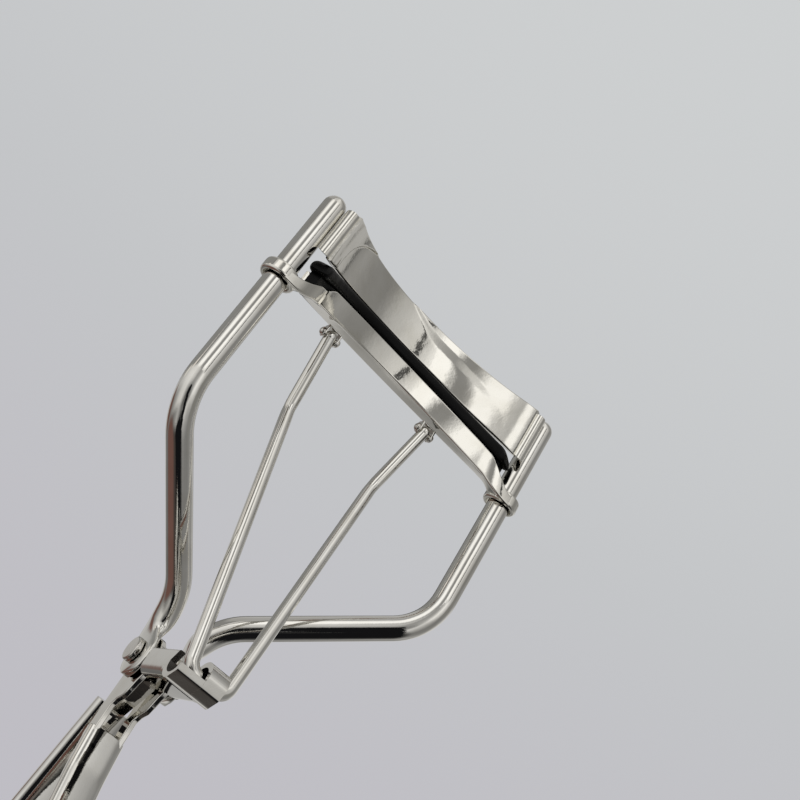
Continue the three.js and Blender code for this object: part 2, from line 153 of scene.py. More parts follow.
def bumps(tree, shader, layers):
    """Stacks bump layers, each a (noise, strength, distance)."""
    previous = None
    for source, strength, distance in layers:
        bump = add(tree, "ShaderNodeBump")
        bump.inputs["Strength"].default_value = strength
        bump.inputs["Distance"].default_value = distance
        tree.links.new(source.outputs[0], bump.inputs["Height"])
        if previous:
            tree.links.new(previous.outputs["Normal"], bump.inputs["Normal"])
        previous = bump
    tree.links.new(previous.outputs["Normal"], shader.inputs["Normal"])


def plated(name, color, stain, smooth, dull, ripple):
    """Bright plate: faint ripples from pressing, fine pits, and patches of duller finish."""
    material, tree, shader = nodes_of(name)
    shader.inputs["Metallic"].default_value = 1.0
    patches = noise(tree, 260, 4)
    tint = add(tree, "ShaderNodeMix", data_type="RGBA")
    tint.inputs["A"].default_value = (*color, 1)
    tint.inputs["B"].default_value = (*stain, 1)
    tree.links.new(spread(tree, patches, 0, 1, 0.42, 0.75).outputs[0], tint.inputs["Factor"])
    tree.links.new(tint.outputs["Result"], shader.inputs["Base Color"])
    tree.links.new(spread(tree, noise(tree, 900, 5), smooth, dull).outputs[0], shader.inputs["Roughness"])
    bumps(tree, shader, [
        (noise(tree, 210, 2), ripple, 0.0004),
        (noise(tree, 1700, 2), ripple, 0.00006),
        (noise(tree, 5200, 2), 0.12, 0.00002),
    ])
    return material


def rubber(name):
    """Semi-matt black rubber with a faint mould grain and a few dusty specks."""
    material, tree, shader = nodes_of(name)
    dust = noise(tree, 3800, 2, 0.7)
    tint = add(tree, "ShaderNodeMix", data_type="RGBA")
    tint.inputs["A"].default_value = (0.003, 0.003, 0.0033, 1)
    tint.inputs["B"].default_value = (0.03, 0.03, 0.031, 1)
    shader.inputs["Specular IOR Level"].default_value = 0.25
    shader.inputs["IOR"].default_value = 1.3
    tree.links.new(spread(tree, dust, 0, 1, 0.68, 0.82).outputs[0], tint.inputs["Factor"])
    tree.links.new(tint.outputs["Result"], shader.inputs["Base Color"])
    tree.links.new(spread(tree, noise(tree, 700, 4), 0.32, 0.5).outputs[0], shader.inputs["Roughness"])
    bumps(tree, shader, [(noise(tree, 2600, 3), 0.2, 0.00003)])
    return material


# Each plate: its colour, its stain, the roughness of its smooth and dull patches, and its ripple.
NICKEL = plated("nickel_plate", (0.79, 0.78, 0.745), (0.71, 0.69, 0.64), 0.015, 0.05, 0.05)
NICKEL_SHEET = plated("nickel_sheet", (0.78, 0.765, 0.715), (0.70, 0.68, 0.62), 0.03, 0.09, 0.16)
PIN_STEEL = plated("pin_steel", (0.72, 0.70, 0.66), (0.55, 0.53, 0.5), 0.08, 0.18, 0.05)
# Dark steel that paints shade into the barrel's bore and onto the ends of the lever's flanges.
SHADE_PAINTED_STEEL = plated("shade_painted_steel", (0.10, 0.095, 0.09), (0.05, 0.045, 0.04), 0.3, 0.5, 0.1)
RUBBER = rubber("pad_rubber")


# ---------------------------------------------------------------- mesh building
class Build:
    """Collects the vertices and faces of one piece, in millimetres."""

    def __init__(self):
        self.verts = []
        self.faces = []

    def rings(self, loops, closed=False, caps=True):
        """Skins between loops that have the same number of points, all turning the same way."""
        base = len(self.verts)
        n = len(loops[0])
        for loop in loops:
            self.verts.extend(Vector(p) for p in loop)
        count = len(loops)
        for i in range(count if closed else count - 1):
            a = base + i * n
            b = base + ((i + 1) % count) * n
            for j in range(n):
                k = (j + 1) % n
                self.faces.append((a + j, a + k, b + k, b + j))
        if caps and not closed:
            self.faces.append(tuple(base + j for j in reversed(range(n))))
            last = base + (count - 1) * n
            self.faces.append(tuple(last + j for j in range(n)))

    def plate(self, outline, lift, x0, x1):
        """A flat outline given thickness: lift(u, v, w) places it, w running from x0 to x1."""
        self.rings([[lift(u, v, w) for u, v in outline] for w in (x0, x1)])

    def make(self, name, body, replaced, material, bevel=0.0, sharp=38.0, painted_dark=None):
        """Makes the piece. The optional face picker, given a face's centre and normal, chooses the faces
        that get dark steel as painted shade.
        """
        mesh = bpy.data.meshes.new(name)
        mesh.from_pydata([v * MM for v in self.verts], [], self.faces)
        work = bmesh.new()
        work.from_mesh(mesh)
        bmesh.ops.remove_doubles(work, verts=work.verts, dist=1e-7)
        bmesh.ops.recalc_face_normals(work, faces=work.faces)
        for face in work.faces:
            face.smooth = True
        for edge in work.edges:
            if len(edge.link_faces) == 2 and edge.calc_face_angle(0) > math.radians(sharp):
                edge.smooth = False
        if painted_dark:
            for face in work.faces:
                face.material_index = int(painted_dark(face.calc_center_median() / MM, face.normal))
        work.to_mesh(mesh)
        work.free()
        piece = bpy.data.objects.new(name, mesh)
        bpy.context.scene.collection.objects.link(piece)
        mesh.materials.append(material)
        # the second slot: dark steel for the faces picked as painted shade
        if painted_dark:
            mesh.materials.append(SHADE_PAINTED_STEEL)
        if bevel:
            rounding = piece.modifiers.new("edges", "BEVEL")
            rounding.width = bevel * MM
            rounding.segments = 3
            rounding.limit_method = "ANGLE"
            rounding.angle_limit = math.radians(sharp)
            rounding.harden_normals = True
        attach(piece, body)
        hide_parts(replaced)


def smoothstep(t):
    t = min(max(t, 0.0), 1.0)
    return t * t * (3 - 2 * t)


def mix(a, b, t):
    return a + (b - a) * t


def rounded_path(points, radii, step):
    """Points along straight runs whose corners are rounded to the given radii."""
    points = [Vector(p) for p in points]
    path = [points[0]]

    def line_to(end):
        start = path[-1]
        count = max(1, round((end - start).length / step))
        path.extend(start.lerp(end, i / count) for i in range(1, count + 1))

    for i in range(1, len(points) - 1):
        corner = points[i]
        back = (points[i - 1] - corner).normalized()
        ahead = (points[i + 1] - corner).normalized()
        half = back.angle(ahead) / 2
        run = radii[i - 1] / math.tan(half)
        line_to(corner + back * run)
        centre = corner + (back + ahead).normalized() * (radii[i - 1] / math.sin(half))
        first = corner + back * run - centre
        axis = first.cross(corner + ahead * run - centre).normalized()
        sweep = math.pi - 2 * half
        count = max(4, round(sweep * radii[i - 1] / step), round(math.degrees(sweep) / 5))
        for k in range(1, count + 1):
            path.append(centre + Matrix.Rotation(sweep * k / count, 3, axis) @ first)
    line_to(points[-1])
    return path


def frames(path, side):
    """A pair of cross axes at each point of a path, carried along without twist."""
    result = []
    across = Vector(side)
    for i, p in enumerate(path):
        ahead = path[min(i + 1, len(path) - 1)] - path[max(i - 1, 0)]
        ahead.normalize()
        across = (across - ahead * across.dot(ahead)).normalized()
        result.append((p, across.copy(), ahead.cross(across)))
    return result


def circle(count):
    return [(math.cos(TAU * k / count), math.sin(TAU * k / count)) for k in range(count)]


def disc(centre, a, b, radius, sides):
    """A circle of points round a centre, in the plane of the directions a and b."""
    return [centre + a * (c * radius) + b * (s * radius) for c, s in circle(sides)]


def tube_loops(path, radius, side=(1, 0, 0), sides=40, scale=lambda point: 1.0):
    return [disc(p, a, b, radius * scale(p), sides) for p, a, b in frames(path, side)]


def dome_loops(centre, axis, radius, height, side, sides=40, steps=8):
    """Loops of a rounded end whose pole lies at centre + axis * height, from the rim to the pole."""
    axis = Vector(axis).normalized()
    a = Vector(side)
    a = (a - axis * a.dot(axis)).normalized()
    b = axis.cross(a)
    loops = []
    for k in range(1, steps + 1):
        t = math.pi / 2 * k / steps
        r = max(radius * math.cos(t), TIP_R)
        loops.append(disc(Vector(centre) + axis * (height * math.sin(t)), a, b, r, sides))
    return loops


def other_way_round(loops):
    """The same loops turning the other way, for a dome that starts a path instead of ending it."""
    return [[loop[-k % len(loop)] for k in range(len(loop))] for loop in loops]


def pin_loops(start, end, radius, dome, sides=32):
    """A cylinder with domed ends."""
    start, end = Vector(start), Vector(end)
    axis = (end - start).normalized()
    side = Vector((0, 0, 1)) if abs(axis.z) < 0.9 else Vector((1, 0, 0))
    body = tube_loops([start, start.lerp(end, 0.5), end], radius, side, sides)
    head = other_way_round(dome_loops(start, -axis, radius, dome, side, sides, DOME_STEPS))
    tail = dome_loops(end, axis, radius, dome, side, sides, DOME_STEPS)
    return head[::-1] + body + tail


def superellipse(half_a, half_b, power, count=40):
    points = []
    for c, s in circle(count):
        points.append((
            math.copysign(abs(c) ** (2 / power), c) * half_a,
            math.copysign(abs(s) ** (2 / power), s) * half_b,
        ))
    return points


# ---------------------------------------------------------------- side rods
def point_at_height(path, z):
    """Where a falling path passes the height z, or its last point below that."""
    before = [p for p in path if p.z >= z][-1]
    after = next((p for p in path if p.z < z), path[-1])
    gap = before.z - after.z
    return before.lerp(after, (before.z - z) / gap) if gap > 1e-6 else before


def flattened_end(path, side, across, along):
    """Loops from the round wire, at FLAT_FROM, down to the flat round end that hangs on the rivet."""
    loops = []
    steps = 16
    for i in range(1, steps + 1):
        z = mix(FLAT_FROM, 0.02 - FLAT_R, i / steps)
        down = FLAT_FROM - z
        on_path = point_at_height(path, z)
        flatter = smoothstep(down / 3.4)
        wide = mix(ROD_R, FLAT_R, smoothstep(down / 4.2))
        if z < 0:
            wide = math.sqrt(max(FLAT_R**2 - z**2, 0.01))
        section = superellipse(mix(ROD_R, FLAT_HALF, flatter), wide, mix(2.0, 2.8, flatter))
        place = Vector((
            mix(on_path.x, side * FLAT_X, flatter),
            mix(on_path.y, 0.0, smoothstep(down / 5.0)),
            z,
        ))
        loops.append([
            place + (across * u + along * v).lerp(Vector((u, -v, 0)), flatter) for u, v in section
        ])
    return loops


def side_rod(side, word):
    build = Build()
    corner = Vector((ROD_X, ROD_Y, CORNER_Z))
    points = [Vector((ROD_X, ROD_Y, ROD_TOP)), corner, corner + LEG * LEG_LENGTH, WAIST_END]
    path = [Vector((p.x * side, p.y, p.z)) for p in rounded_path(points, [7, 8], 0.6)]
    round_part = [p for p in path if p.z > FLAT_FROM]
    dome = other_way_round(dome_loops(path[0], (0, 0, 1), ROD_R, ROD_R, (1, 0, 0)))
    loops = tube_loops(round_part, ROD_R)
    _, across, along = frames(round_part, (1, 0, 0))[-1]
    build.rings(dome[::-1] + loops + flattened_end(path, side, across, along))
    build.make(f"side_rod_{word}", "frame", f"frame_rod_{word}", NICKEL, sharp=60)


side_rod(-1, "left")
side_rod(1, "right")


# ---------------------------------------------------------------- jaws
def bow(radius, angle, z):
    """A point of the jaws' bow, whose ends come forward; angle 0 is its middle, at the back."""
    return Vector((radius * math.sin(angle), BOW_Y + radius * math.cos(angle), z))


def back_share(angle, half):
    """How far back a point of the bow lies: 0 at the ends, half degrees round, and 1 in the middle."""
    end = math.cos(math.radians(half))
    return (math.cos(angle) - end) / (1 - end)


def fold_z(angle):
    """Height of the channel's lower front edge, which climbs towards the middle of the bow."""
    return FOLD_Z + (BOW_Y + CHANNEL_R * math.cos(angle) - FOLD_Y) * CLIMB


def section_rounded(corners, radius_of, steps=4):
    """A closed polygon with each corner rounded; radius_of gives each corner's radius."""
    result = []
    n = len(corners)
    for i in range(n):
        here = Vector(corners[i])
        back = (Vector(corners[i - 1]) - here).normalized()
        ahead = (Vector(corners[(i + 1) % n]) - here).normalized()
        radius = radius_of[i]
        half = back.angle(ahead) / 2
        run = radius / math.tan(half)
        start, end = here + back * run, here + ahead * run
        for k in range(steps + 1):
            t = k / steps
            result.append(start.lerp(here, t).lerp(here.lerp(end, t), t))
    return result


def mirror(side, loop):
    """The loop itself on the right side, its mirror image on the left."""
    return [Vector((side * p.x, p.y, p.z)) for p in loop]


def pressed(angle, up):
    """How far the jaw's face is pressed in, 0 to 1: a dish with a crisp left end and a soft right end."""
    right = smoothstep(0.5 + angle / 0.5)
    top = mix(1.12, 0.84, right)
    edge = (abs(angle) / DISH_HALF) ** 3 + (up / top) ** 3
    return smoothstep((1 - edge) / mix(0.07, 0.75, right))


def upper_jaw():
    """A waisted plate: crowned across its height, with a pressed dish, its ends running into the rolls."""
    build = Build()
    half = math.radians(JAW_ANGLE)
    steps, rows, rim = 300, 40, 0.16
    crown, dish = 0.07, 0.24
    loops = []
    for i in range(steps + 1):
        angle = mix(-half, half, i / steps)
        share = back_share(angle, JAW_ANGLE)
        low = mix(*JAW_LOW, share)
        high = mix(*JAW_HIGH, share)
        section = section_rounded([(0, low), (JAW_T, low), (JAW_T, high), (0, high)], [rim] * 4, 3)
        section += [(0, mix(high - rim, low + rim, k / rows)) for k in range(1, rows)]
        fade = 1 - smoothstep(abs(angle) / half * 10 - 9)  # level with the rolls at the very ends
        loop = []
        for depth, z in section:
            up = (z - low) / (high - low)
            offset = crown * (1 - (2 * up - 1) ** 2) + dish * fade * (pressed(angle, up) - 1)
            loop.append(bow(JAW_R + depth + offset * (1 - depth / JAW_T), angle, z))
        loops.append(loop)
    build.rings(loops)
    low, high = JAW_LOW[0] + 0.5, JAW_HIGH[0] - 0.35
    for side in (-1, 1):
        x = side * ROLL_X
        roll = pin_loops((x, ROLL_Y, low), (x, ROLL_Y, high), ROLL_R, 0.06)
        for loop in roll[:DOME_STEPS + 1]:
            for point in loop:  # the roll's lower end is cut on a slant, lower in front
                point.z += (point.y - ROLL_Y) * 0.65
        build.rings(roll)
    build.make("upper_jaw_plate", "frame", "upper_jaw", NICKEL_SHEET, sharp=50)


def wall_top(angle):
    """Height of the front wall over the fold: its left shoulder drops sooner than its right one."""
    shoulder = math.radians(44 if angle < 0 else 50)
    return CHANNEL_H - 0.9 * smoothstep((abs(angle) - shoulder) / math.radians(9))


def channel(build):
    """The floor and the rear wall along the bow. Near the ends the floor draws back behind the ribbons."""
    half = math.radians(CHANNEL_ANGLE)
    steps, lift = 110, 0.12
    rear, t = CHANNEL_R + CHANNEL_DEPTH, CHANNEL_T
    loops = []
    for i in range(steps + 1):
        angle = mix(-half, half, i / steps)
        front = CHANNEL_R + 0.25 + 0.75 * smoothstep((abs(angle) - 0.83) / 0.08)
        low, high = fold_z(angle) + lift, fold_z(angle) + CHANNEL_H
        corners = [
            (front, low), (rear, low), (rear, high), (rear - t, high), (rear - t, low + t), (front, low + t),
        ]
        section = section_rounded(corners, [0.1, 0.45, 0.2, 0.2, 0.1, 0.1])
        loops.append([bow(r, angle, z) for r, z in section])
    build.rings(loops)


def ribbon(start, ahead, low, high):
    """Rows (point, bottom, top) of the strip that sweeps forward in an S and narrows to the band."""
    end = Vector((ROD_X - 0.1, ROD_Y - BAND_R + 0.03, 0))
    leaving, arriving = start + ahead * 2.2, end - Vector((2.4, 0, 0))
    steps, least = 36, 1.1
    rows = []
    for i in range(1, steps + 1):
        u = i / steps
        v = 1 - u
        point = start * v**3 + leaving * (3 * u * v**2) + arriving * (3 * u * u * v) + end * u**3
        settle = smoothstep(u * 1.2 - 0.2)
        climb = (point.y - start.y) * CLIMB
        bottom = mix(low + climb, BAND_LOW - 0.2, settle)
        top = mix(high + climb, BAND_LOW + 1.0, settle)
        rows.append((point, bottom, max(top, bottom + least)))
    return rows


def front_strip(build, side, inset):
    """The front wall along the bow, and the ribbon that carries it to the band on one side."""
    start = WALL_STARTS[side]
    steps = round((WALL_LEAVES - start) / 0.018)
    angles = [mix(start, WALL_LEAVES, i / steps) for i in range(steps + 1)]
    rows = [
        (bow(CHANNEL_R + inset, a, 0), fold_z(a), fold_z(a) + wall_top(side * a)) for a in angles
    ]
    last, low, high = rows[-1]
    rows += ribbon(last, (last - rows[-2][0]).normalized(), low, high)
    loops = []
    for i, (point, bottom, top) in enumerate(rows):
        along = rows[min(i + 1, len(rows) - 1)][0] - rows[max(i - 1, 0)][0]
        inward = Vector((-along.y, along.x, 0)).normalized()
        corners = [(0, bottom), (CHANNEL_T, bottom), (CHANNEL_T, top), (0, top)]
        section = section_rounded(corners, [0.2, 0.1, 0.2, 0.2])
        loops.append(mirror(side, [point + inward * d + Vector((0, 0, z)) for d, z in section]))
    build.rings(loops)


def end_floor(build, side):
    """The floor that carries the channel's underside out to the rod."""
    half = math.radians(CHANNEL_ANGLE)
    near_rod, behind_rod = Vector((17.3, -13.8, 0)), Vector((17.5, -10.75, 0))
    steps = 20
    loops = []
    for i in range(steps + 1):
        u = i / steps
        angle = mix(half - 0.12, half, min(u * 1.6, 1))
        leave = smoothstep((u - 0.2) / 0.8)
        near = bow(CHANNEL_R + 0.95, angle, 0).lerp(near_rod, leave)
        far = bow(CHANNEL_R + CHANNEL_DEPTH - 0.06, angle, 0).lerp(behind_rod, leave)
        z = mix(fold_z(angle) + 0.13, BAND_LOW + 0.1, leave)
        width = (far - near).length
        corners = [(0, z), (width, z), (width, z + CHANNEL_T), (0, z + CHANNEL_T)]
        section = section_rounded(corners, [0.1, 0.2, 0.2, 0.1])
        across = (far - near) / width
        loops.append(mirror(side, [near + across * d + Vector((0, 0, h)) for d, h in section]))
    build.rings(loops)


def band(build, side):
    """The band round a rod: a flat ring with well rounded edges, tilted a little."""
    high = BAND_LOW + BAND_H
    corners = [(BAND_BORE, BAND_LOW), (BAND_R, BAND_LOW), (BAND_R, high), (BAND_BORE, high)]
    section = section_rounded(corners, [0.06, 0.38, 0.38, 0.06], 6)
    tilt = 0.16
    build.rings([
        [Vector((side * ROD_X + r * c, ROD_Y + r * s, z + tilt * s)) for r, z in section]
        for c, s in circle(64)
    ], closed=True)


def lower_jaw():
    build = Build()
    channel(build)
    front_strip(build, 1, 0.0)
    front_strip(build, -1, 0.16)  # set back behind the right strip, so that the two lie as one wall
    for side in (-1, 1):
        end_floor(build, side)
        band(build, side)
    build.make("lower_jaw_channel", "lower_jaw", "lower_jaw_carrier", NICKEL_SHEET, sharp=50)


def pad_stem(build):
    """The part of the pad that sits in the channel. Past STEM_ANGLE its foot rises clear of the floor."""
    half = math.radians(BEAD_ANGLE - 2)
    steps = 80
    inner = CHANNEL_R + CHANNEL_DEPTH - CHANNEL_T - PAD_GAP
    loops = []
    for i in range(steps + 1):
        angle = mix(-half, half, i / steps)
        over = max(abs(angle) - math.radians(STEM_ANGLE), 0)
        outer = CHANNEL_R + CHANNEL_T + PAD_GAP + 0.3 * smoothstep((abs(angle) - 0.8) / 0.1)
        foot = fold_z(angle) + 0.7 + over * 14
        head = fold_z(angle) + CHANNEL_H + 0.5
        section = [(outer, foot), (inner, foot), (inner, head), (outer, head)]
        loops.append([bow(r, angle, z) for r, z in section])
    build.rings(loops)


def pad_bead(build):
    """The bead over the channel's rims, its ends rounded off and a little higher than its middle."""
    half = math.radians(BEAD_ANGLE)
    steps, end_run = 140, 1.2
    middle, wide = CHANNEL_R + CHANNEL_DEPTH / 2, CHANNEL_DEPTH / 2
    loops = []
    for i in range(steps + 1):
        angle = mix(-half, half, i / steps)
        from_end = (half - abs(angle)) * middle
        fade = math.sqrt(max(1 - (1 - min(from_end / end_run, 1)) ** 2, 0.02))
        base = fold_z(angle) + CHANNEL_H + 0.08
        top = fold_z(angle) + PAD_H + 0.2 * (1 - back_share(angle, BEAD_ANGLE))
        centre, tall = (base + top) / 2 - 0.3 * (1 - fade), (top - base) / 2
        section = superellipse(wide, tall, 3.2, 36)
        loops.append([bow(middle + u * mix(0.75, 1, fade), angle, centre + v * fade) for u, v in section])
    build.rings(loops)


def pad():
    build = Build()
    pad_stem(build)
    pad_bead(build)
    build.make("lash_pad_rubber", "lower_jaw", "lash_pad", RUBBER, sharp=45)


upper_jaw()
lower_jaw()
pad()


# ---------------------------------------------------------------- ears, pins and push wire
def arch_outline(radius, top, steps=14):
    """Round at the bottom, straight up to the top: (y, z) from the pin."""
    turns = [math.pi * k / steps for k in range(1, steps)]
    foot = [(-radius * math.cos(t), -radius * math.sin(t)) for t in turns]
    return [(-radius, top), (-radius, 0)] + foot + [(radius, 0), (radius, top)]


def ear(side, word):
    """A fork of two cheeks and a roof, welded under the channel."""
    x, y, z = side * EAR[0], EAR[1], EAR[2]
    build = Build()

    def from_pin(u, v, w):
        return (x + w, y + u, z + v)

    cheek = arch_outline(EAR_R, EAR_TOP - 0.1)
    build.plate(cheek, from_pin, -EAR_REACH, EAR_T - EAR_REACH)
    build.plate(cheek, from_pin, EAR_REACH - EAR_T, EAR_REACH)
    roof = [(-0.5, EAR_TOP - 0.19), (0.5, EAR_TOP - 0.19), (0.5, EAR_TOP), (-0.5, EAR_TOP)]
    build.plate(roof, from_pin, -EAR_REACH, EAR_REACH)
    build.make(f"ear_{word}", "lower_jaw", f"wire_ear_{word}", NICKEL, bevel=0.1)


def ear_pin(side, word):
    """The pin through an ear and the wire's eye, with a domed head at each end."""
    x, y, z = side * EAR[0], EAR[1], EAR[2]
    reach, head = EAR_REACH + 0.02, 0.06
    build = Build()
    build.rings(pin_loops((x - reach, y, z), (x + reach, y, z), 0.3, 0.05, 20))
    for way in (-1, 1):
        base = x + way * reach
        build.rings(pin_loops((base, y, z), (base + way * head, y, z), 0.52, 0.36, 28))
    build.make(f"pin_{word}", "lower_jaw", f"ear_pin_{word}", PIN_STEEL, sharp=60)


def push_wire():
    """Two arms and a crossbar, bent from one wire, with a ball for the eye at each end."""
    build = Build()
    arm = [Vector(EAR), Vector(KINK), Vector(CROSSBAR)]
    path = rounded_path(mirror(-1, arm) + arm[::-1], [5, 1.35, 1.35, 5], 0.7)
    kinks = [Vector((side * KINK[0], KINK[1], KINK[2])) for side in (-1, 1)]

    def pinch(point):
        # The wire is nicked a little at each kink, where the bending tool held it.
        near = min((point - kink).length for kink in kinks)
        return 1.0 - 0.05 * math.exp(-((near / 0.7) ** 2))

    build.rings(tube_loops(path, WIRE_R, (0, 1, 0), 36, pinch))
    for side in (-1, 1):
        eye = (side * EAR[0], EAR[1], EAR[2])
        over = dome_loops(eye, (0, 0, 1), EYE_R, EYE_R, (1, 0, 0), 32, 10)
        under = dome_loops(eye, (0, 0, -1), EYE_R, EYE_R, (1, 0, 0), 32, 10)
        build.rings(other_way_round(under)[::-1] + over)
    build.make("push_wire_bent", "push_wire", "push_wire", NICKEL, sharp=60)


for side, word in ((-1, "left"), (1, "right")):
    ear(side, word)
    ear_pin(side, word)
push_wire()


# ---------------------------------------------------------------- handles
def yz(u, v, w):
    return (w, u, v)


def round_plate(build, radius, x0, x1):
    build.plate([(radius * c, radius * s) for c, s in circle(56)], yz, x0, x1)


def ring_and_shank(build, points, radii, ring_y):
    """A half-round strip: the shank, and the finger ring that it runs into."""
    section = superellipse(2.2, 0.9, 2.8, 36)
    path = rounded_path([(0, y, z) for y, z in points], radii, 0.8)
    build.rings([[p + a * u + b * v for u, v in section] for p, a, b in frames(path, (1, 0, 0))])
    loops = []
    for c, s in circle(96):
        centre = Vector((0, ring_y + RING_R * c, RING_Z + RING_R * RING_STRETCH * s))
        out = Vector((0, c * RING_STRETCH, s)).normalized()
        loops.append([centre + Vector((u, 0, 0)) + out * v for u, v in section])
    build.rings(loops, closed=True)


def barrel_arc(build, x0, x1, start, end, steps):
    """Part of the barrel: the sheet curled round the crossbar, between two angles from +Y.
    Its front and its underside are struck flat, each at an angle and a distance from the bar."""
    flats = ((192, 1.70), (234, 1.64))
    y, z = CROSSBAR[1], CROSSBAR[2]
    full = end - start == 360
    loops = []
    for k in range(steps if full else steps + 1):
        t = math.radians(mix(start, end, k / steps))
        c, s = math.cos(t), math.sin(t)
        r = BARREL_R
        for flat_at, distance in flats:
            toward = math.cos(t - math.radians(flat_at))
            if toward > 0.5:
                r = min(r, distance / toward)
        corners = [(x0, BORE_R), (x1, BORE_R), (x1, r), (x0, r)]
        loops.append([Vector((x, y + out * c, z + out * s)) for x, out in corners])
    build.rings(loops, closed=full)


def lever_arm(build):
    """The channel-shaped arm: a well rounded underside, and flanges whose noses lean out in front."""
    x0, x1, flange = -3.0, 2.6, 0.7
    foot, lean, floor_end = -9.1, 1.1, -11.7
    floor, top = LEVER_FLOOR, LEVER_TOP
    outline = [
        (x0, top), (x0, LEVER_UNDER), (x1, LEVER_UNDER), (x1, top),
        (x1 - flange, top), (x1 - flange, floor), (x0 + flange, floor), (x0 + flange, top),
    ]
    section = section_rounded(outline, [0.18, 1.1, 1.1, 0.18, 0.18, 0.25, 0.25, 0.18], 6)
    steps = 8
    loops = []
    for k in range(steps + 1):
        y = mix(LEVER_NEAR, foot, k / steps)
        forward = lean * k / steps
        loops.append([Vector((x, y - forward * max(z - floor, 0) / (top - floor), z)) for x, z in section])
    build.rings(loops)
    floor_outline = [(x0, floor), (x0, LEVER_UNDER), (x1, LEVER_UNDER), (x1, floor)]
    section = section_rounded(floor_outline, [0.1, 0.8, 0.8, 0.1], 6)
    build.rings([[Vector((x, y, z)) for x, z in section] for y in (foot + 0.4, -10.2, floor_end)])


def painted_shade_faces(centre, normal):
    """Picks the barrel's bore and the ends of the lever's flanges, which get dark steel as painted shade."""
    from_bar = Vector((0, centre.y - CROSSBAR[1], centre.z - CROSSBAR[2]))
    along_bar = TROUGH_X[0] - 0.1 < centre.x < BARREL_X[1] + 0.1
    in_bore = along_bar and from_bar.length < BORE_R + 0.2 and normal.dot(from_bar) < 0
    nose = -10.6 < centre.y < -9 and normal.y < -0.7 and centre.z > -1.4
    return in_bore or nose


def moving_handle():
    build = Build()
    lever_arm(build)
    back = LEVER_NEAR - 0.5
    tongue = [(back, LEVER_UNDER), (0, LEVER_UNDER), (0, LEVER_FLOOR), (back, LEVER_FLOOR)]
    build.plate(tongue, yz, -TONGUE_HALF, TONGUE_HALF)
    round_plate(build, 2.1, -TONGUE_HALF, TONGUE_HALF)
    barrel_arc(build, *TROUGH_X, 186, 358, 30)
    barrel_arc(build, *BARREL_X, 0, 360, 56)
    neck = [(-0.6, -1.9), (3.3, -6.2), (4.3, -7.6), (4.8, -5.4), (1.9, -0.6)]
    build.plate(neck, yz, -TONGUE_HALF, TONGUE_HALF)
    ring_and_shank(build, [(3.9, -5.2), (4.9, -9.5), (7.5, -21), (9.0, -27.8)], [14, 14], RING_Y)
    build.make("moving_handle_pressed", "moving_handle", "moving_handle", NICKEL,
               bevel=0.1, sharp=50, painted_dark=painted_shade_faces)


def fixed_handle():
    build = Build()
    cheek = [
        (-2.45, -0.7), (-2.2, -2), (-1.75, -2.6), (-1.35, -3.6), (-0.9, -4.4), (0, -4.9),
        (0.5, -5.6), (0.2, -8.6), (2, -8.6), (2.4, -6), (2.5, -0.6),
    ]
    for near, far in ((-CHEEK_OUT, -CHEEK_IN), (CHEEK_IN, CHEEK_OUT)):
        round_plate(build, 2.55, near, far)
        build.plate(cheek, yz, near, far)
    build.plate([(0.3, -8.6), (2, -8.6), (2, -7.8), (0.3, -7.8)], yz, -CHEEK_OUT, CHEEK_OUT)
    ring_and_shank(build, [(1.1, -8.1), (-0.4, -12.5), (-5, -22), (-9, -27.8)], [12, 14], -RING_Y)
    build.make("fixed_handle_pressed", "frame", "fixed_handle", NICKEL, bevel=0.16, sharp=50)


def rivet():
    """A pin through everything at the pivot, with a flat head at each end."""
    build = Build()
    inside, outside, head_r = 3.2, 3.8, 1.4
    build.rings(pin_loops((-inside - 0.1, 0, 0), (inside + 0.1, 0, 0), 0.9, 0.02))
    head = [(head_r, inside), (head_r, outside), (0.0, outside), (0.0, inside)]
    rounded = [(max(r, TIP_R), x) for r, x in section_rounded(head, [0.03, 0.24, 0.001, 0.001], 6)]
    for way in (-1, 1):
        build.rings([[(way * x, r * c, r * s) for c, s in circle(48)] for r, x in rounded])
    build.make("pivot_rivet_headed", "frame", "pivot_rivet", PIN_STEEL, sharp=60)


moving_handle()
fixed_handle()
rivet()


# ---------------------------------------------------------------- floor, surroundings, camera
def floor():
    """A plain pale floor just under the rings. The metal doesn't mirror it."""
    mesh = bpy.data.meshes.new("floor")
    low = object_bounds()[0][2] - 0.0002
    reach = 1.5
    corners = [(-reach, -reach, low), (reach, -reach, low), (reach, reach, low), (-reach, reach, low)]
    mesh.from_pydata(corners, [], [(0, 1, 2, 3)])
    piece = bpy.data.objects.new("floor", mesh)
    bpy.context.scene.collection.objects.link(piece)
    material, tree, shader = nodes_of("pale_floor")
    shade = spread(tree, noise(tree, 3, 3), 0.60, 0.64)
    color = add(tree, "ShaderNodeCombineColor")
    for channel in ("Red", "Green", "Blue"):
        tree.links.new(shade.outputs[0], color.inputs[channel])
    tree.links.new(color.outputs[0], shader.inputs["Base Color"])
    shader.inputs["Roughness"].default_value = 0.8
    mesh.materials.append(material)
    piece.visible_glossy = False
    piece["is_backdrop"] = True


def ramp_of(tree, stops):
    """A colour ramp through (position, colour) stops."""
    ramp = add(tree, "ShaderNodeValToRGB")
    elements = ramp.color_ramp.elements
    while len(elements) < len(stops):
        elements.new(0.5)
    for element, (at, color) in zip(elements, stops):
        element.position = at
        element.color = (*color, 1)
    return ramp


def warm_grey(v):
    return (v * 1.014, v, v * 0.9776)


def direction(azimuth, elevation):
    """A unit vector, azimuth running in degrees from +Y towards +X."""
    a, e = math.radians(azimuth), math.radians(elevation)
    return Vector((math.sin(a) * math.cos(e), math.cos(a) * math.cos(e), math.sin(e)))


